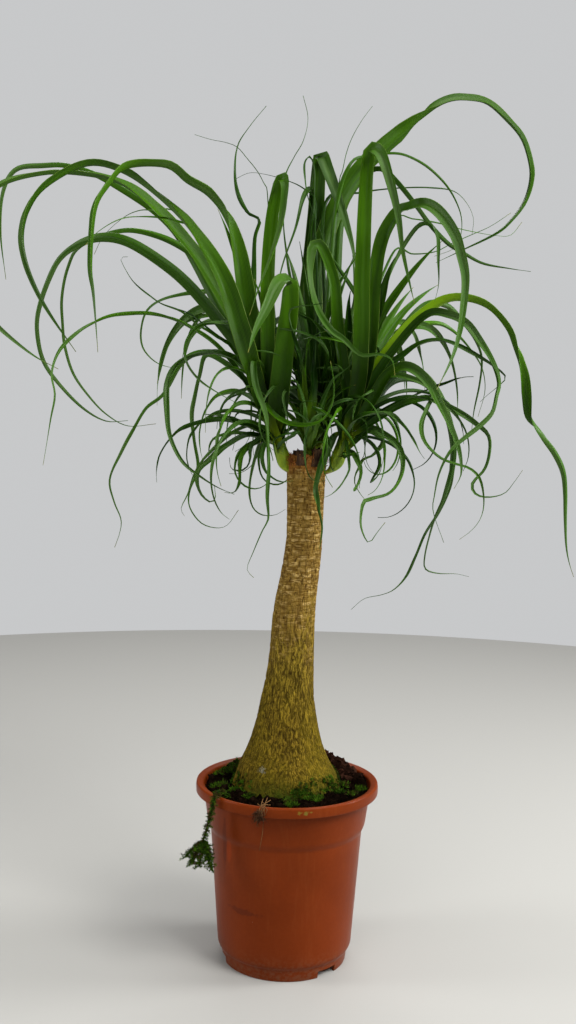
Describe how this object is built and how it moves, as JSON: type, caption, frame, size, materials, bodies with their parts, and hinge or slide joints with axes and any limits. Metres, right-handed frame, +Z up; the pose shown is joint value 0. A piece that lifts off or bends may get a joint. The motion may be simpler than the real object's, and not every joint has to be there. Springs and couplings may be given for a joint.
{
  "type": "potted ponytail palm",
  "caption": "Ponytail palm with a swollen woody trunk and long arching grassy leaves, standing in a terracotta-coloured plastic nursery pot with soil and moss.",
  "frame": {"origin": "on the floor, on the pot's axis, in the middle of the whole plant's outline seen from above", "axes": "+Z up, +Y away from the side that shows the moss strand, +X to the right as seen from that side"},
  "size_m": [0.7052, 0.6107, 1.0205],
  "materials": {
    "pot_plastic": "satin",
    "peat": "matte",
    "bark": "matte",
    "leaf": "satin",
    "young_leaf": "satin",
    "moss": "matte"
  },
  "bodies": {
    "root": {"pot": "pot_plastic", "soil": "peat", "trunk": "bark", "shoot_left": "leaf", "shoot_right": "leaf", "shoot_young": "young_leaf", "shoot_back": "leaf", "moss_strand": "moss"}
  },
  "joints": []
}
